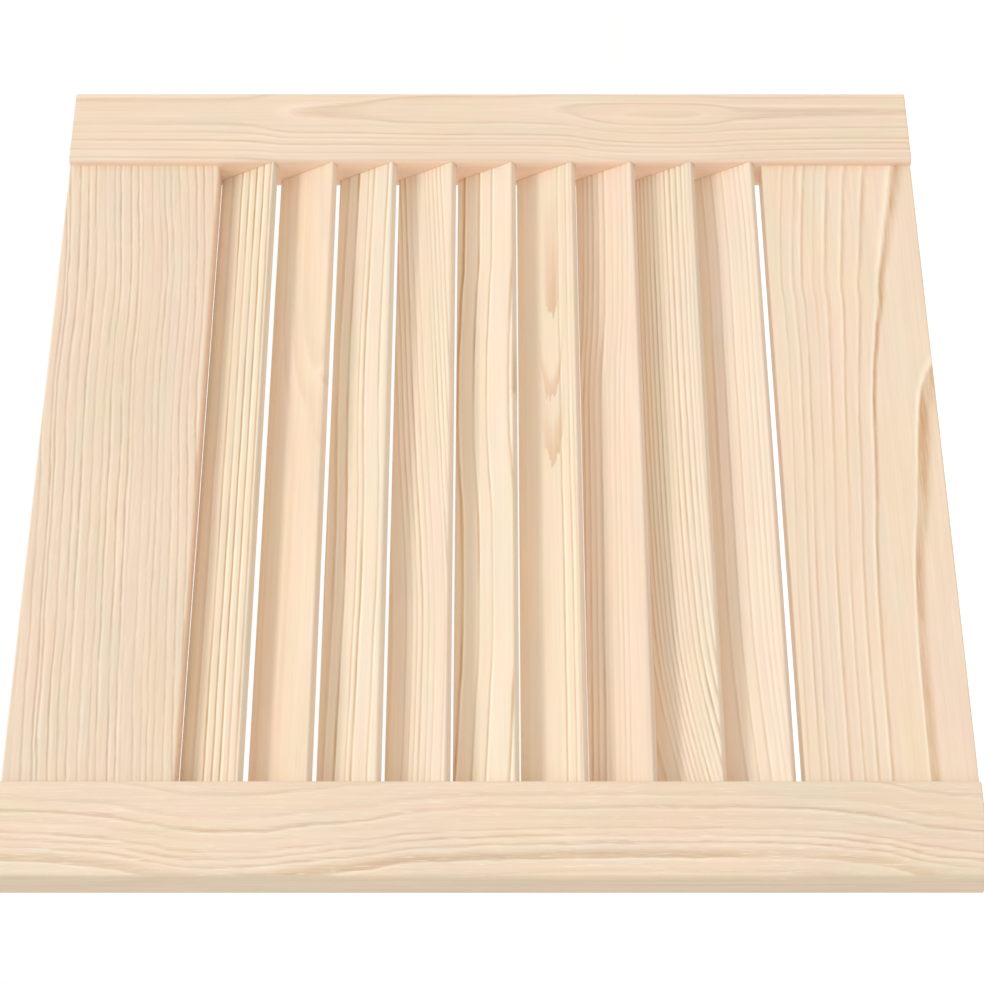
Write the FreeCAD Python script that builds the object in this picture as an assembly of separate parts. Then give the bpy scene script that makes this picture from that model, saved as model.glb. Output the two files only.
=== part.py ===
"""Louvred cabinet door in solid pine: two stiles, two rails and a row of fixed slanting louvres.

Sizes are in millimetres. +Z is up, +X runs across the door and the front faces -Y.
The origin is the middle of the left stile's outer edge, where the hinges go.
"""
import FreeCAD, Part
import math
import os

# Door leaf
DOOR_HEIGHT = 395.0
DOOR_WIDTH = 394.0

# Stiles, the full-height uprights
STILE_WIDTH = 41.0
STILE_THICKNESS = 20.0
STILE_ARRIS = 2.0
STILE_END_EASE = 0.4

# Rails, the boards between the stiles, set back from the stile faces front and back
RAIL_WIDTH = 70.2
RAIL_THICKNESS = 13.0
RAIL_ARRIS = 1.0

# Stub tenons that carry the rails, and their room in the stiles' mortises
TENON_LENGTH = 20.0
TENON_THICKNESS = 6.0
TENON_SHOULDER = 10.0
MORTISE_CLEARANCE = 0.1

# Louvres, with the front edge low and the back edge high
LOUVRE_WIDTH = 29.8
LOUVRE_THICKNESS = 4.7
LOUVRE_ARRIS = 1.3
LOUVRE_TILT = 30.0
LOUVRE_PITCH = 27.93
LOUVRE_TOP_GAP = 0.3

# Slanting housings in the stiles' inner edges, where the louvre ends sit
HOUSING_DEPTH = 8.0
HOUSING_CLEARANCE = 0.1

# A rounding takes at most this share of a board's thinnest side
MOST_OF_SIDE = 0.45

ACROSS = FreeCAD.Vector(1, 0, 0)
UP = FreeCAD.Vector(0, 0, 1)

# The opening that the frame leaves for the louvres
opening_width = DOOR_WIDTH - 2 * STILE_WIDTH
opening_height = DOOR_HEIGHT - 2 * RAIL_WIDTH
middle = DOOR_WIDTH / 2
rail_centre = (DOOR_HEIGHT - RAIL_WIDTH) / 2

# Each board's size across the door, through it and up it
stile_size = (STILE_WIDTH, STILE_THICKNESS, DOOR_HEIGHT)
rail_size = (opening_width, RAIL_THICKNESS, RAIL_WIDTH)
tenon_size = (opening_width + 2 * TENON_LENGTH, TENON_THICKNESS, RAIL_WIDTH - 2 * TENON_SHOULDER)
louvre_length = opening_width + 2 * (HOUSING_DEPTH - HOUSING_CLEARANCE)
louvre_size = (louvre_length, LOUVRE_THICKNESS, LOUVRE_WIDTH)


def eased(arris, size):
    """Return an arris radius, limited by the thinnest side of its board."""
    return min(arris, MOST_OF_SIDE * min(size))


def louvre_rise():
    """Return how much height one tilted louvre takes, from its nose to its back edge."""
    tilt = math.radians(LOUVRE_TILT)
    radius = eased(LOUVRE_ARRIS, louvre_size)
    flat_width = LOUVRE_WIDTH - 2 * radius
    flat_edge = LOUVRE_THICKNESS - 2 * radius
    return flat_width * math.cos(tilt) + flat_edge * math.sin(tilt) + 2 * radius


def louvre_centres():
    """Return the height of each louvre's middle, from the top one down."""
    room = opening_height - LOUVRE_TOP_GAP - louvre_rise()
    first = (opening_height - louvre_rise()) / 2 - LOUVRE_TOP_GAP
    count = 1 + int(room / LOUVRE_PITCH)
    return [first - LOUVRE_PITCH * index for index in range(count)]


def along(direction, grain):
    """Say whether a unit direction runs along the grain, either way."""
    return math.isclose(abs(direction.dot(grain)), 1.0)


def board(size, radius, grain):
    """Return a board round the origin, its four arrises along the grain rounded."""
    block = Part.makeBox(*size, FreeCAD.Vector(*size) * -0.5)
    arrises = [edge for edge in block.Edges if along(edge.tangentAt(edge.FirstParameter), grain)]
    return block.makeFillet(radius, arrises)


def end_edges(solid, grain):
    """Return the edges round the two end faces of a board."""
    ends = [face for face in solid.Faces if along(face.normalAt(0, 0), grain)]
    return [edge for end in ends for edge in end.Edges]


def grown(size, clearance):
    """Return a board's size with a clearance added on every side."""
    return [side + 2 * clearance for side in size]


def tenon_bar(centre, clearance=0.0):
    """Return the bar whose ends are a rail's two tenons, or with a clearance its two mortises."""
    size = FreeCAD.Vector(*grown(tenon_size, clearance))
    return Part.makeBox(*size, FreeCAD.Vector(middle, 0, centre) - size * 0.5)


def louvre(centre, clearance=0.0):
    """Return a louvre at its tilt, or with a clearance the room that its two housings leave it."""
    radius = eased(LOUVRE_ARRIS, louvre_size) + clearance
    slat = board(grown(louvre_size, clearance), radius, ACROSS)
    tilted = slat.rotated(FreeCAD.Vector(), ACROSS, -LOUVRE_TILT)
    return tilted.translated(FreeCAD.Vector(middle, 0, centre))


def rail(centre):
    """Return a rail with a stub tenon at each end."""
    panel = board(rail_size, eased(RAIL_ARRIS, rail_size), ACROSS)
    placed = panel.translated(FreeCAD.Vector(middle, 0, centre))
    return placed.fuse(tenon_bar(centre)).removeSplitter()


def stile(centre):
    """Return a stile with the mortises and the louvre housings cut in its inner edge."""
    upright = board(stile_size, eased(STILE_ARRIS, stile_size), UP)
    upright = upright.makeChamfer(STILE_END_EASE, end_edges(upright, UP))
    mortises = [tenon_bar(height, MORTISE_CLEARANCE) for height in (rail_centre, -rail_centre)]
    housings = [louvre(height, HOUSING_CLEARANCE) for height in louvre_centres()]
    return upright.translated(FreeCAD.Vector(centre, 0, 0)).cut(mortises + housings)


def door_pieces():
    """Return every piece of the door by its name."""
    pieces = {
        "left_stile": stile(STILE_WIDTH / 2),
        "right_stile": stile(DOOR_WIDTH - STILE_WIDTH / 2),
        "top_rail": rail(rail_centre),
        "bottom_rail": rail(-rail_centre),
    }
    for number, height in enumerate(louvre_centres(), start=1):
        pieces[f"louvre_{number}"] = louvre(height)
    return pieces


os.makedirs("parts", exist_ok=True)
for name, solid in door_pieces().items():
    solid.exportStep(f"parts/{name}.step")
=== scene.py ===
"""Looks of the louvred pine door: planed, unfinished wood with its own year rings in every board."""
import math
import random
from dataclasses import dataclass

import bpy
from mathutils import Euler, Matrix, Vector


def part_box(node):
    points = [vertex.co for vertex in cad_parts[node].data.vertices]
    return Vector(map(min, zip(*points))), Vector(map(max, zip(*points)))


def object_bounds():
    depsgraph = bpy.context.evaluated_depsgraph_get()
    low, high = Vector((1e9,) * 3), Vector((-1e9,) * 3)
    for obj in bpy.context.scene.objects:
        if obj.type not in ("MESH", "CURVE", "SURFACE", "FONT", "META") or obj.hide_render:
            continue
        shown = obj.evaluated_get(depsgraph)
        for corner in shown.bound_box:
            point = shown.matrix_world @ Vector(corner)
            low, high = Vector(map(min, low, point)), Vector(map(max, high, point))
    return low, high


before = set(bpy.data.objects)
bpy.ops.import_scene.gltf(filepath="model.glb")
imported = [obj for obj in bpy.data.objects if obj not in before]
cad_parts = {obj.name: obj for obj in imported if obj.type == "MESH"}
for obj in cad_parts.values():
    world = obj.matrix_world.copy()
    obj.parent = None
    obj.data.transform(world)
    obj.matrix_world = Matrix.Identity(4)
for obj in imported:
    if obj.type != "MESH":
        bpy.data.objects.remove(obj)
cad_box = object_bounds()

# The camera, in metres: in front of the door and to its left, level with its middle, lying on its side
CAMERA_LENS_MM = 85.0
CAMERA_SENSOR_MM = 36.0
CAMERA_TURN = math.radians(29.79)
CAMERA_DISTANCE = 1.0
CAMERA_AIM_FROM_HINGE_EDGE = 0.17425
CAMERA_AIM_UP = -0.0008

# Light: an even sky, warmer behind the door, and one large soft lamp in front of the door and above it
SKY_STRENGTH = 0.842
FRONT_SKY = (1.0, 1.0, 1.0)
BACK_SKY = (1.11, 0.99, 0.935)
SKY_BLEND = 0.2
KEY_STRENGTH = 0.285
KEY_HEIGHT_ANGLE = math.radians(55.5)
KEY_DISTANCE = 4.0
KEY_SIZE = 1.0
WHITE = (1.0, 1.0, 1.0, 1.0)

# Floor: the door hangs clear of it, and its glow makes it white to the camera where nothing shades it
FLOOR_DROP = 0.12
FLOOR_SIZE = 8.0
FLOOR_GREY = (0.8, 0.8, 0.8, 1.0)
FLOOR_GLOW = 0.32

# Wood is worked out in millimetres, in a board's own axes: along the grain, through the board and across
MM = 0.001
ALONG_BOARD = (1.0, 0.0, 0.0)
ACROSS_BOARD = (0.0, 0.0, 1.0)
LOUVRE_TILT = math.radians(30.0)
QUARTER_TURN = math.radians(90.0)

# Wood colours, linear, and what the cut ends keep of them
EARLY_WOOD = (0.880, 0.707, 0.531)
BROWN_LATE = (0.434, 0.319, 0.212)
AMBER_LATE = (0.630, 0.300, 0.085)
NEW_RING = (0.975, 0.855, 0.675)
FLAME_WOOD = (0.660, 0.355, 0.180)
END_GRAIN = (0.80, 0.71, 0.61)
OPAQUE = 1.0

# What a board's long edges keep of the wood's colour: painted shade, or painted warm bounce light
PAINTED_SHADE_EDGE = (0.910, 0.915, 0.925)
PAINTED_GREY_SHADE_EDGE = (0.900, 0.915, 0.899)
PAINTED_BOUNCE_EDGE = (1.085, 1.015, 1.015)

# Surfaces square to an axis of the board: its ends, and its long edges, where the rings show less
FACING_START = 0.5
FACING_FULL = 0.9
EDGE_CALM = 0.9

# Sheen of the planed wood, and the height of its fibres in metres
WOOD_ROUGHNESS = 0.60
WOOD_ROUGHNESS_SPREAD = 0.06
WOOD_SPECULAR = 0.25
BUMP_STRENGTH = 0.3
BUMP_HEIGHT = 0.00006

# Year rings: the largest radius that any board reaches, and for the rings between the chosen ones, as shares
# of their usual width, how uneven they are, how near a chosen ring they come and how wide their dark wood is
LARGEST_RADIUS = 130.0
RING_SPREAD = (0.5, 1.7)
CLOSEST_RING = 0.6
FAINT_LATE = 0.6

# A ring's dark wood is full where this share of its width is left, deepens along a power and ends this softly
LATE_FULL = 0.30
LATE_CURVE = 1.4
EDGE_SOFTNESS = 0.7

# The next ring starts pale
NEW_RING_WIDTH = 1.5
NEW_RING_SHARE = 1.3

# Flames, where a ring meets the face at a shallow slant: how far they bend, how soft and ragged their tips
# are, how much of their width is full and how much darker one side is
FLAME_BEND = 0.7
FLAME_EDGE = 1.5
FLAME_RAGGED = 9.0
FLAME_CORE = 0.3
FLAME_LEAN = 0.5

# Swells of the noise patterns, as length along the grain and width across it
SWELL = (70.0, 16.0)
JOG = (34.0, 14.0)
RIPPLE = (13.0, 1.4)
DASH = (12.0, 0.7)
FADE = (75.0, 6.0)
CLOUD = (80.0, 8.0)
HUE = (50.0, 13.0)
STREAK = (90.0, 1.3)
EDGE_LINE = (160.0, 3.2)
FIBRE = (14.0, 0.4)
FLECK = (9.0, 0.45)
TATTER = (8.0, 1.5)

# Blender's noise runs from 0 to 1 and is used from -1 to 1, at the size that its swell gives
NOISE_LOW = -1.0
NOISE_SPAN = 2.0
NOISE_SCALE = 1.0
FINE_DETAIL = 3.0
PLAIN_DETAIL = 2.0

# How far those patterns lighten, darken and interrupt the wood
CLOUD_DEPTH = (0.028, 0.050, 0.065)
HUE_DEPTH = (0.085, 0.040, 0.075)
STREAK_DEPTH = 0.08
EDGE_LINE_DEPTH = 0.16
DASH_DEPTH = 0.6
FIBRE_DEPTH = 0.035
FLECK_START = 0.12
FLECK_FULL = 0.40
FADE_START = -0.45
FADE_FULL = 0.25
FADED_SHARE = 0.35


@dataclass
class Grain:
    """How a board was cut from its log, in millimetres along the board, across it and through it.

    pith: the line of the log's middle past the board, as points along, across and through.
    rings: the chosen rings, each by its radius, the width of its dark wood and how dark that is.
    ring, fill: the usual width of the rings that fill the wide gaps, and the range of how dark they are.
    contrast, amber: how strongly all rings show, and how far their dark wood turns from brown to amber.
    flames: each by its tip along and across the board, its length, half its width and how dark it is.
    swell, jog, ripple: how far slow, middling and fine waves bend the rings.
    fleck: how strongly short pale flecks show.
    edge, tint: what the long edges keep of the wood's colour, as painted shade or painted warm bounce light,
    and the whole board's own tone.
    seed: picks the board's noise and its rings between the chosen ones.
    """
    pith: tuple
    rings: tuple
    ring: float
    contrast: float
    fill: tuple = (0.15, 0.5)
    amber: float = 0.15
    flames: tuple = ()
    swell: float = 0.5
    jog: float = 0.2
    ripple: float = 0.25
    fleck: float = 0.0
    # By default a board's long edges get painted shade, darker and a little bluer
    edge: tuple = PAINTED_SHADE_EDGE
    tint: tuple = (1.0, 1.0, 1.0)
    seed: float = 0.0

    def late_wood(self):
        """Give the colour of the board's dark wood, between brown and amber."""
        return tuple(brown + (amber - brown) * self.amber for brown, amber in zip(BROWN_LATE, AMBER_LATE))


GRAIN = {
    "right_stile": Grain(
        pith=((200, -9.0, 5.5), (120, -9.0, 5.0), (95, -9.0, 2.0), (67, -9.6, 0.9), (30, -10.3, -1.6),
              (-10, -10.3, -1.7), (-28, -10.3, -2.5), (-45, -9.0, -4.5), (-60, -7.7, -6.7), (-85, -7.2, -7.9),
              (-120, -7.8, -3.8), (-170, -8.5, -3.1), (-200, -8.5, -3.0)),
        rings=((7.5, 1.8, 0.7), (12.0, 1.8, 0.7), (17.8, 1.8, 1.0), (20.2, 1.5, 0.7), (23.6, 1.6, 1.0),
               (27.9, 1.6, 0.6), (32.0, 1.5, 0.8)),
        ring=5.0, contrast=0.37, amber=0.4, ripple=0.35, fleck=0.2,
        # The right stile's long edges get painted warm bounce light, lighter and redder
        edge=PAINTED_BOUNCE_EDGE, tint=(0.976, 0.977, 0.983), seed=1),
    "left_stile": Grain(
        pith=((200, -70.0, 40), (165, -68.2, 40), (135, -64.0, 40), (106, -61.0, 40), (78, -63.2, 40),
              (50, -66.0, 40), (16, -70.0, 40), (-63, -71.3, 40), (-110, -71.0, 40), (-147, -68.6, 40),
              (-176, -63.0, 40), (-200, -60.5, 40)),
        rings=((69.5, 2.0, 0.5), (80.7, 2.2, 0.9), (87.9, 1.8, 0.8), (90.4, 1.8, 0.8), (92.9, 1.6, 0.8),
               (97.8, 5.0, 1.0), (103.0, 2.0, 0.4)),
        ring=4.5, contrast=0.46, amber=0.45, swell=0.9, jog=0.8, ripple=0.9, fleck=0.6,
        # The left stile's long edges get painted shade, darker and a little grey
        edge=PAINTED_GREY_SHADE_EDGE, tint=(0.976, 0.982, 0.981), seed=2),
    "top_rail": Grain(
        pith=((155, 75.0, 10), (125, 72.5, 10), (100, 70.6, 10), (75, 70.0, 10), (40, 70.1, 10),
              (15, 69.3, 10), (-10, 67.6, 10), (-45, 66.2, 10), (-80, 65.0, 10), (-120, 63.4, 10),
              (-155, 61.4, 10)),
        rings=((42.7, 1.6, 0.9), (48.3, 1.6, 1.0), (55.4, 1.8, 1.0), (66.5, 1.6, 1.0), (71.3, 1.6, 1.0),
               (74.7, 1.6, 1.0), (87.2, 1.6, 0.7), (93.6, 1.6, 0.6), (97.1, 1.6, 0.8), (100.8, 1.6, 0.9)),
        ring=2.8, contrast=0.56, fill=(0.2, 1.0), amber=0.35, swell=1.2, jog=0.8, ripple=0.5, fleck=0.4,
        # The top rail's long edges get painted warm bounce light, lighter and redder
        edge=PAINTED_BOUNCE_EDGE, tint=(0.954, 0.952, 0.956), seed=3),
    "bottom_rail": Grain(
        pith=((155, -39.0, 34.6), (140, -37.6, 34.2), (100, -36.4, 31.8), (80, -38.4, 29.0),
              (60, -41.0, 24.3), (45, -42.7, 20.2), (20, -43.6, 15.5), (-20, -43.3, 12.0),
              (-60, -43.1, 5.5), (-100, -42.9, 1.5), (-155, -42.7, -0.5)),
        rings=((28.0, 6.0, 1.0), (43.6, 2.4, 1.0), (49.1, 2.0, 0.6), (54.6, 2.0, 0.6), (60.2, 2.2, 0.7),
               (64.5, 1.8, 0.3), (68.7, 2.0, 0.6), (72.0, 2.0, 0.5), (76.5, 1.6, 0.4)),
        ring=8.0, contrast=0.72, fill=(0.0, 0.08), amber=0.65, fleck=0.2, tint=(1.020, 1.024, 1.027), seed=4),
    "louvre_1": Grain(
        pith=((0, 45, 3),),
        rings=((33.7, 3.0, 0.1), (38.6, 3.0, 0.3), (43.6, 1.8, 0.9), (47.7, 1.8, 1.0), (51.6, 1.8, 1.0),
               (55.7, 1.8, 0.9), (59.4, 1.8, 0.7)),
        ring=5.0, contrast=1.0, amber=0.65, swell=0.4, tint=(0.96, 0.998, 0.99), seed=5),
    "louvre_2": Grain(
        pith=((156, -12, 9), (80, -12, 11), (45, -12, 14), (5, -12, 18), (-156, -12, 18)),
        rings=((16.8, 3.0, 0.6), (20.8, 3.0, 0.7), (25.0, 3.0, 0.6)),
        flames=((33, -14.5, 9, 3.5, 0.25), (2, -14.0, 10, 9.0, 0.12)),
        ring=5.0, contrast=0.2, amber=0.5, tint=(1.01, 1.0, 0.985), seed=6),
    "louvre_3": Grain(
        pith=((155, 59.0, 10), (118, 59.9, 10), (77, 60.8, 10), (48, 61.2, 10), (7, 60.6, 10),
              (-46, 59.4, 10), (-90, 60.1, 10), (-150, 61.5, 10)),
        rings=((52.3, 3.0, 0.5), (57.7, 2.4, 1.0), (63.0, 1.6, 0.6), (65.8, 2.2, 1.0), (73.4, 1.8, 0.8)),
        ring=6.0, contrast=0.80, amber=0.7, swell=0.3, tint=(1.0, 1.05, 1.07), seed=7),
    "louvre_4": Grain(
        pith=((155, 61.0, 15), (77, 56.7, 15), (0, 52.0, 15), (-50, 48.5, 15), (-78, 47.3, 15),
              (-110, 47.3, 15), (-155, 48.3, 15)),
        rings=((46.0, 1.6, 0.7), (48.5, 1.6, 0.8), (50.9, 1.5, 0.7), (53.5, 1.8, 1.0), (56.4, 1.5, 0.5),
               (59.0, 1.5, 0.4), (63.8, 1.5, 0.5), (65.5, 1.4, 1.0), (67.7, 1.4, 1.0), (69.8, 1.4, 0.7),
               (71.9, 1.4, 0.8)),
        ring=5.0, contrast=0.6, amber=0.5, tint=(1.0, 1.015, 1.03), seed=8),
    "louvre_5": Grain(
        pith=((155, 59.2, 10), (107, 59.4, 10), (92, 60.2, 10), (68, 61.2, 10), (42, 61.9, 10),
              (24, 61.9, 10), (-5, 60.8, 10), (-46, 58.9, 10), (-80, 58.8, 10), (-114, 60.1, 10),
              (-155, 62.2, 10)),
        rings=((50.9, 2.6, 1.2), (58.6, 2.2, 1.0), (65.0, 1.8, 0.9), (76.3, 2.4, 0.9)),
        flames=((27, -15.5, 36, 2.6, 0.5),),
        ring=12.0, contrast=0.7, amber=0.7, swell=0.2, tint=(1.02, 1.07, 1.09), seed=9),
    "louvre_6": Grain(
        pith=((155, 60.0, 10), (50, 60.6, 10), (0, 60.5, 10), (-60, 60.0, 10), (-155, 60.0, 10)),
        rings=((69.2, 1.6, 0.9), (73.2, 1.6, 0.7), (75.2, 1.4, 0.4)),
        flames=((73, -3.0, 74, 4.5, 0.52), (28, -2.5, 16, 8.0, 0.50), (-6, -3.0, 32, 7.0, 0.52)),
        ring=30.0, contrast=0.75, amber=0.55, swell=0.2, tint=(1.01, 1.035, 1.035), seed=10),
    "louvre_7": Grain(
        pith=((155, 80.0, 15), (110, 80.5, 15), (77, 81.5, 15), (50, 83.5, 15), (30, 84.5, 15),
              (-10, 85.0, 15), (-60, 85.7, 15), (-155, 87.0, 15)),
        rings=((72.2, 1.8, 0.8), (74.5, 1.8, 0.9), (77.0, 1.8, 1.0), (79.7, 1.8, 0.6), (82.8, 2.4, 0.9),
               (86.8, 1.5, 0.3), (89.5, 1.5, 0.4), (91.8, 1.5, 0.5), (94.2, 1.5, 0.4)),
        ring=6.0, contrast=0.5, amber=0.5, tint=(1.005, 1.0, 1.02), seed=11),
    "louvre_8": Grain(
        pith=((155, 60.0, 8), (10, 60.0, 8), (-31, 59.3, 8), (-61, 58.2, 8), (-90, 56.4, 8), (-111, 53.8, 8),
              (-134, 49.6, 8), (-155, 45.0, 8)),
        rings=((43.6, 1.4, 0.6), (45.9, 1.4, 0.6), (47.8, 1.4, 0.6), (49.8, 1.4, 0.6), (51.7, 1.4, 0.7),
               (53.8, 1.4, 0.8), (55.9, 1.4, 0.9), (58.0, 1.4, 0.4), (60.1, 1.4, 0.4), (62.4, 1.5, 0.9),
               (65.2, 1.7, 1.0), (68.3, 1.7, 1.0), (70.9, 1.6, 0.9), (72.8, 1.4, 0.6), (74.8, 1.4, 0.5)),
        ring=5.0, contrast=0.75, amber=0.5, swell=0.3, tint=(0.98, 1.01, 1.02), seed=12),
    "louvre_9": Grain(
        pith=((155, 61.5, 12), (130, 60.5, 12), (105, 59.9, 12), (50, 60.0, 12), (-20, 60.0, 12),
              (-80, 59.7, 12), (-105, 58.8, 12), (-130, 57.2, 12), (-155, 55.3, 12)),
        rings=((53.5, 2.2, 1.2), (58.3, 1.8, 1.0), (63.4, 1.8, 1.0), (67.2, 1.5, 0.4), (69.7, 1.6, 0.7),
               (72.2, 1.6, 0.9), (74.5, 1.5, 0.5)),
        ring=6.0, contrast=0.38, amber=0.5, swell=0.3, tint=(1.02, 1.045, 1.085), seed=13),
}


class Shader:
    """A material's or the world's node tree, with short ways to add nodes."""

    def __init__(self, owner):
        owner.use_nodes = True
        self.tree = owner.node_tree
        self.tree.nodes.clear()

    def node(self, kind, **settings):
        """Add a node."""
        made = self.tree.nodes.new(kind)
        for name, value in settings.items():
            setattr(made, name, value)
        return made

    def feed(self, socket, value):
        """Give an input a plain value, or link it to another node's output."""
        if isinstance(value, bpy.types.NodeSocket):
            self.tree.links.new(value, socket)
        else:
            socket.default_value = value

    def show(self, kind, surface):
        """End the tree with an output node, and the surface that it shows."""
        made = self.node(kind)
        self.feed(made.inputs["Surface"], surface)

    def math(self, operation, *values):
        """Work out one number."""
        made = self.node("ShaderNodeMath", operation=operation)
        for socket, value in zip(made.inputs, values):
            self.feed(socket, value)
        return made.outputs[0]

    def product(self, first, *others):
        """Multiply numbers."""
        for other in others:
            first = self.math("MULTIPLY", first, other)
        return first

    def vector_math(self, operation, first, second, output=0):
        """Work out one vector or colour, or a number from two of them."""
        made = self.node("ShaderNodeVectorMath", operation=operation)
        self.feed(made.inputs[0], first)
        self.feed(made.inputs["Scale" if operation == "SCALE" else 1], second)
        return made.outputs[output]

    def split(self, vector):
        """Give a vector's three numbers."""
        made = self.node("ShaderNodeSeparateXYZ")
        self.feed(made.inputs[0], vector)
        return made.outputs

    def step(self, value, low, high):
        """Rise smoothly from 0 at low to 1 at high, which may be the smaller one."""
        made = self.node("ShaderNodeMapRange", interpolation_type="SMOOTHSTEP")
        for socket, number in zip(made.inputs, (value, low, high)):
            self.feed(socket, number)
        return made.outputs[0]

    def curve(self, value, points, straight=False):
        """Follow a curve through (input, output) points, smooth or in straight runs."""
        inputs, outputs = zip(*sorted(points))
        low = min(outputs)
        span = max(outputs) - low
        if span == 0.0:
            return low
        shares = [(x - inputs[0]) / (inputs[-1] - inputs[0]) for x in inputs]
        heights = [(y - low) / span for y in outputs]
        made = self.node("ShaderNodeFloatCurve")
        self.draw(made.mapping, list(zip(shares, heights)), "VECTOR" if straight else "AUTO")
        reach = self.math("SUBTRACT", value, inputs[0])
        self.feed(made.inputs["Value"], self.math("DIVIDE", reach, inputs[-1] - inputs[0]))
        return self.math("MULTIPLY_ADD", made.outputs["Value"], span, low)

    @staticmethod
    def draw(mapping, places, handle):
        """Draw a curve node's line through places between 0 and 1."""
        mapping.extend = "HORIZONTAL"
        drawn = mapping.curves[0].points
        drawn[0].location = places[0]
        drawn[1].location = places[-1]
        for place in places[1:-1]:
            drawn.new(*place)
        for point in drawn:
            point.handle_type = handle
        mapping.update()

    def noise(self, place, swell, seed, detail=PLAIN_DETAIL):
        """Give noise from -1 to 1, drawn out along the grain."""
        length, width = swell
        made = self.node("ShaderNodeTexNoise", noise_dimensions="4D")
        self.feed(made.inputs["Vector"], self.vector_math("DIVIDE", place, (length, width, width)))
        made.inputs["W"].default_value = seed
        made.inputs["Scale"].default_value = NOISE_SCALE
        made.inputs["Detail"].default_value = detail
        return self.math("MULTIPLY_ADD", made.outputs["Fac"], NOISE_SPAN, NOISE_LOW)

    def mix(self, share, first, second):
        """Blend from one colour to another."""
        made = self.node("ShaderNodeMix", data_type="RGBA")
        sockets = {socket.identifier: socket for socket in made.inputs}
        self.feed(sockets["Factor_Float"], share)
        for name, colour in (("A_Color", first), ("B_Color", second)):
            linked = isinstance(colour, bpy.types.NodeSocket)
            self.feed(sockets[name], colour if linked else (*colour, OPAQUE))
        return next(socket for socket in made.outputs if socket.identifier == "Result_Color")


def board_space(shader, centre, turn):
    """Give a point's place in its board, in millimetres: along the grain, through the board and across."""
    where = shader.node("ShaderNodeTexCoord")
    mapping = shader.node("ShaderNodeMapping", vector_type="TEXTURE")
    mapping.inputs["Location"].default_value = centre
    mapping.inputs["Rotation"].default_value = turn
    mapping.inputs["Scale"].default_value = (MM, MM, MM)
    shader.feed(mapping.inputs["Vector"], where.outputs["Object"])
    return mapping.outputs[0]


def log_radius(shader, grain, place):
    """Give a point's distance from the pith, bent by the tree's waves."""
    along, through, across = shader.split(place)
    pith_across = shader.curve(along, [(point[0], point[1]) for point in grain.pith])
    pith_through = shader.curve(along, [(point[0], point[2]) for point in grain.pith])
    sideways = shader.math("SUBTRACT", across, pith_across)
    deep = shader.math("SUBTRACT", through, pith_through)
    squared = shader.math("MULTIPLY_ADD", deep, deep, shader.math("MULTIPLY", sideways, sideways))
    radius = shader.math("SQRT", squared)
    radius = shader.math("MULTIPLY_ADD", shader.noise(place, SWELL, grain.seed), grain.swell, radius)
    radius = shader.math("MULTIPLY_ADD", shader.noise(place, JOG, grain.seed), grain.jog, radius)
    ripple = shader.noise(place, RIPPLE, grain.seed, detail=FINE_DETAIL)
    return shader.math("MULTIPLY_ADD", ripple, grain.ripple, radius)


def ring_series(grain):
    """Give every ring's end as radius, dark width and depth: the chosen rings, and others in wide gaps."""
    draw = random.Random(grain.seed)
    series = [(0.0, grain.ring, 0.0)]
    for chosen in (*grain.rings, (LARGEST_RADIUS, grain.ring, 0.0)):
        radius = series[-1][0] + grain.ring * draw.uniform(*RING_SPREAD)
        while radius < chosen[0] - grain.ring * CLOSEST_RING:
            series.append((radius, grain.ring * FAINT_LATE, draw.uniform(*grain.fill)))
            radius += grain.ring * draw.uniform(*RING_SPREAD)
        series.append(chosen)
    return series


def ring_strength(shader, grain, place, edge):
    """Give how strongly the rings show: they fade, break into dashes and calm down on the long edges."""
    fade = shader.step(shader.noise(place, FADE, grain.seed), FADE_START, FADE_FULL)
    fade = shader.math("MULTIPLY_ADD", fade, 1.0 - FADED_SHARE, FADED_SHARE)
    dash = shader.math("MULTIPLY_ADD", shader.noise(place, DASH, grain.seed), DASH_DEPTH, 1.0)
    calm = shader.math("MULTIPLY_ADD", edge, -EDGE_CALM, 1.0)
    return shader.product(fade, dash, calm, grain.contrast)


def year_rings(shader, grain, place, edge):
    """Give how much late wood a point has, dark up to its ring's end, and how much of a new ring's start."""
    radius = log_radius(shader, grain, place)
    strength = ring_strength(shader, grain, place, edge)
    ends, widths, depths = (list(enumerate(column)) for column in zip(*ring_series(grain)))
    year = shader.math("FLOOR", shader.curve(radius, [(end, count) for count, end in ends], straight=True))
    next_year = shader.math("ADD", year, 1.0)
    left = shader.math("SUBTRACT", shader.curve(next_year, ends, straight=True), radius)
    width = shader.curve(next_year, widths, straight=True)
    depth = shader.curve(next_year, depths, straight=True)
    late = shader.step(left, width, shader.math("MULTIPLY", width, LATE_FULL))
    late = shader.math("POWER", late, LATE_CURVE)
    late = shader.product(late, shader.step(left, 0.0, EDGE_SOFTNESS), depth, strength)
    grown = shader.math("SUBTRACT", radius, shader.curve(year, ends, straight=True))
    last_depth = shader.curve(year, depths, straight=True)
    fresh = shader.product(shader.step(grown, NEW_RING_WIDTH, 0.0), last_depth, strength, NEW_RING_SHARE)
    return late, fresh


def flame(shader, place, tatter, shape):
    """Give how dark one flame is, with a sharp ragged tip below and a soft end above."""
    tip, middle, length, reach, depth = shape
    along, _, across = shader.split(place)
    aside = shader.math("SUBTRACT", across, middle)
    bend = shader.product(aside, aside, FLAME_BEND)
    above = shader.math("SUBTRACT", shader.math("SUBTRACT", along, tip), bend)
    above = shader.math("ADD", above, tatter)
    body = shader.product(shader.step(above, 0.0, FLAME_EDGE), shader.step(above, length, 0.0), depth)
    core = shader.step(shader.math("ABSOLUTE", aside), reach, reach * FLAME_CORE)
    lean = shader.math("MULTIPLY_ADD", aside, -FLAME_LEAN / reach, 1.0)
    return shader.product(body, core, lean)


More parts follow.
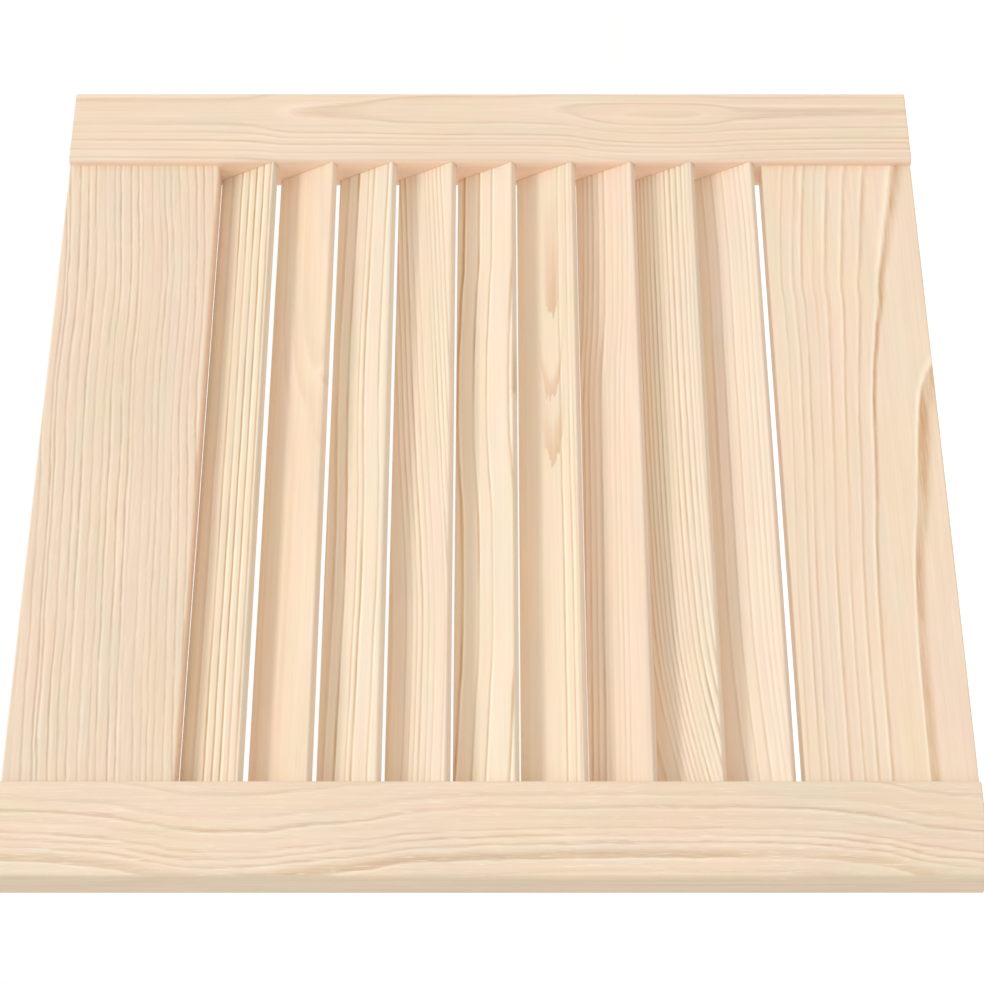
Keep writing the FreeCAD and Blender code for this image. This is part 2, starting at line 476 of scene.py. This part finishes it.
def flames(shader, grain, place):
    """Give how dark the darkest of a board's flames is at a point."""
    tatter = shader.math("MULTIPLY", shader.noise(place, TATTER, grain.seed), FLAME_RAGGED)
    darkest = 0.0
    for shape in grain.flames:
        darkest = shader.math("MAXIMUM", darkest, flame(shader, place, tatter, shape))
    return darkest


def facing_share(shader, turn, axis):
    """Say how far a surface is square to one of the board's own axes, from 0 to 1."""
    where = shader.node("ShaderNodeTexCoord")
    axis = Euler(turn).to_matrix() @ Vector(axis)
    facing = shader.vector_math("DOT_PRODUCT", where.outputs["Normal"], axis, output="Value")
    return shader.step(shader.math("ABSOLUTE", facing), FACING_START, FACING_FULL)


def wood_tone(shader, grain, place, fibre, edge):
    """Give how light the wood is from place to place, round 1, for each of the three colours."""
    grey = shader.math("MULTIPLY_ADD", fibre, FIBRE_DEPTH, 1.0)
    grey = shader.math("MULTIPLY_ADD", shader.noise(place, STREAK, grain.seed), STREAK_DEPTH, grey)
    line = shader.product(shader.noise(place, EDGE_LINE, grain.seed), edge, EDGE_LINE_DEPTH)
    grey = shader.math("ADD", grey, line)
    cloud = shader.vector_math("SCALE", CLOUD_DEPTH, shader.noise(place, CLOUD, grain.seed))
    tone = shader.vector_math("ADD", cloud, grain.tint)
    for axis, depth in enumerate(HUE_DEPTH):
        channel = tuple(depth if axis == other else 0.0 for other in range(len(HUE_DEPTH)))
        hue = shader.noise(place, HUE, grain.seed + axis)
        tone = shader.vector_math("ADD", tone, shader.vector_math("SCALE", channel, hue))
    return shader.vector_math("SCALE", tone, grey)


def wood_colour(shader, grain, place, fibre, edge):
    """Give the colour of a board's faces and long edges, with painted shade or painted warm bounce light on
    the long edges.
    """
    late, fresh = year_rings(shader, grain, place, edge)
    colour = shader.mix(fresh, EARLY_WOOD, NEW_RING)
    colour = shader.mix(late, colour, grain.late_wood())
    if grain.flames:
        colour = shader.mix(flames(shader, grain, place), colour, FLAME_WOOD)
    fleck = shader.step(shader.noise(place, FLECK, grain.seed), FLECK_START, FLECK_FULL)
    colour = shader.mix(shader.math("MULTIPLY", fleck, grain.fleck), colour, NEW_RING)
    # Painted shade on the long edges, or painted warm bounce light where the board's edge factor is above 1
    colour = shader.mix(edge, colour, shader.vector_math("MULTIPLY", colour, grain.edge))
    return shader.vector_math("MULTIPLY", colour, wood_tone(shader, grain, place, fibre, edge))


def fibre_bump(shader, fibre):
    """Give the surface's direction with the fibres raised on it."""
    bump = shader.node("ShaderNodeBump")
    bump.inputs["Strength"].default_value = BUMP_STRENGTH
    bump.inputs["Distance"].default_value = BUMP_HEIGHT
    shader.feed(bump.inputs["Height"], fibre)
    return bump.outputs[0]


def pine(name, grain, centre, turn):
    """Make the wood of one board."""
    material = bpy.data.materials.new(name)
    shader = Shader(material)
    place = board_space(shader, centre, turn)
    fibre = shader.noise(place, FIBRE, grain.seed, detail=FINE_DETAIL)
    edge = facing_share(shader, turn, ACROSS_BOARD)
    colour = wood_colour(shader, grain, place, fibre, edge)
    cut = shader.vector_math("MULTIPLY", colour, END_GRAIN)
    colour = shader.mix(facing_share(shader, turn, ALONG_BOARD), colour, cut)
    roughness = shader.math("MULTIPLY_ADD", fibre, WOOD_ROUGHNESS_SPREAD, WOOD_ROUGHNESS)
    bsdf = shader.node("ShaderNodeBsdfPrincipled")
    shader.feed(bsdf.inputs["Base Color"], colour)
    shader.feed(bsdf.inputs["Roughness"], roughness)
    shader.feed(bsdf.inputs["Normal"], fibre_bump(shader, fibre))
    bsdf.inputs["Specular IOR Level"].default_value = WOOD_SPECULAR
    shader.show("ShaderNodeOutputMaterial", bsdf.outputs[0])
    return material


def board_turn(node):
    """Give the turn from the door's axes to a board's own: along the grain, through the board and across."""
    if node.endswith("stile"):
        return (0.0, -QUARTER_TURN, 0.0)
    if node.startswith("louvre"):
        return (-LOUVRE_TILT, 0.0, 0.0)
    return (0.0, 0.0, 0.0)


def dress_boards():
    """Give every board of the door its own wood."""
    for node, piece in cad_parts.items():
        low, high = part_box(node)
        material = pine("wood_" + node, GRAIN[node], (low + high) / 2, board_turn(node))
        piece.material_slots[0].material = material


def white_to_camera(shader, lit, shown):
    """Show one shader to the camera, in gloss and through glass, and keep the lit one for all other light."""
    rays = shader.node("ShaderNodeLightPath")
    seen = shader.math("MAXIMUM", rays.outputs["Is Camera Ray"], rays.outputs["Is Glossy Ray"])
    seen = shader.math("MAXIMUM", seen, rays.outputs["Is Transmission Ray"])
    both = shader.node("ShaderNodeMixShader")
    shader.feed(both.inputs[0], seen)
    shader.feed(both.inputs[1], lit)
    shader.feed(both.inputs[2], shown)
    return both.outputs[0]


def floor_white():
    """Make the floor's material, white to the camera but for the door's shadow."""
    material = bpy.data.materials.new("floor_white")
    shader = Shader(material)
    glow = shader.node("ShaderNodeEmission")
    glow.inputs["Strength"].default_value = FLOOR_GLOW
    grey = shader.node("ShaderNodeBsdfDiffuse")
    grey.inputs["Color"].default_value = FLOOR_GREY
    shown = shader.node("ShaderNodeAddShader")
    shader.feed(shown.inputs[0], grey.outputs[0])
    shader.feed(shown.inputs[1], glow.outputs[0])
    surface = white_to_camera(shader, grey.outputs[0], shown.outputs[0])
    shader.show("ShaderNodeOutputMaterial", surface)
    return material


def make_floor():
    """Lay a plain floor under the door."""
    low, high = cad_box
    place = ((low[0] + high[0]) / 2, 0.0, low[2] - FLOOR_DROP)
    bpy.ops.mesh.primitive_plane_add(size=FLOOR_SIZE, location=place)
    floor = bpy.context.object
    floor.name = "floor"
    floor.data.materials.append(floor_white())


def make_sky():
    """Light the door from all round, a little warmer from behind, with a white background."""
    world = bpy.data.worlds.new("sky")
    bpy.context.scene.world = world
    shader = Shader(world)
    direction = shader.split(shader.node("ShaderNodeTexCoord").outputs["Generated"])
    behind = shader.step(direction["Y"], 0.0, SKY_BLEND)
    lit = shader.node("ShaderNodeBackground")
    lit.inputs["Strength"].default_value = SKY_STRENGTH
    shader.feed(lit.inputs["Color"], shader.mix(behind, FRONT_SKY, BACK_SKY))
    white = shader.node("ShaderNodeBackground")
    white.inputs["Color"].default_value = WHITE
    shader.show("ShaderNodeOutputWorld", white_to_camera(shader, lit.outputs[0], white.outputs[0]))


def make_key():
    """Add the large soft lamp, as bright on a white surface that faces it as its strength says."""
    low, high = cad_box
    centre = (Vector(low) + Vector(high)) / 2
    towards = Vector((0.0, -math.cos(KEY_HEIGHT_ANGLE), math.sin(KEY_HEIGHT_ANGLE)))
    lamp = bpy.data.lights.new("key", "AREA")
    lamp.shape = "DISK"
    lamp.size = KEY_SIZE
    lamp.energy = KEY_STRENGTH * (math.pi * KEY_DISTANCE) ** 2
    holder = bpy.data.objects.new("key", lamp)
    holder.location = centre + towards * KEY_DISTANCE
    holder.rotation_euler = towards.to_track_quat("Z", "Y").to_euler()
    bpy.context.scene.collection.objects.link(holder)


def make_camera():
    """Stand the camera where the photograph was taken from, so that the door's foot is on the right."""
    low, high = cad_box
    aim = Vector((low[0] + CAMERA_AIM_FROM_HINGE_EDGE, low[1], (low[2] + high[2]) / 2 + CAMERA_AIM_UP))
    right = Vector((0.0, 0.0, -1.0))
    up = Vector((math.cos(CAMERA_TURN), -math.sin(CAMERA_TURN), 0.0))
    back = right.cross(up)
    lens = bpy.data.cameras.new("camera")
    lens.lens = CAMERA_LENS_MM
    lens.sensor_width = CAMERA_SENSOR_MM
    camera = bpy.data.objects.new("camera", lens)
    turn = Matrix((right, up, back)).transposed()
    camera.matrix_world = Matrix.Translation(aim + back * CAMERA_DISTANCE) @ turn.to_4x4()
    bpy.context.scene.collection.objects.link(camera)
    bpy.context.scene.camera = camera


bpy.context.scene.view_settings.view_transform = "Standard"
dress_boards()
make_floor()
make_sky()
make_key()
make_camera()
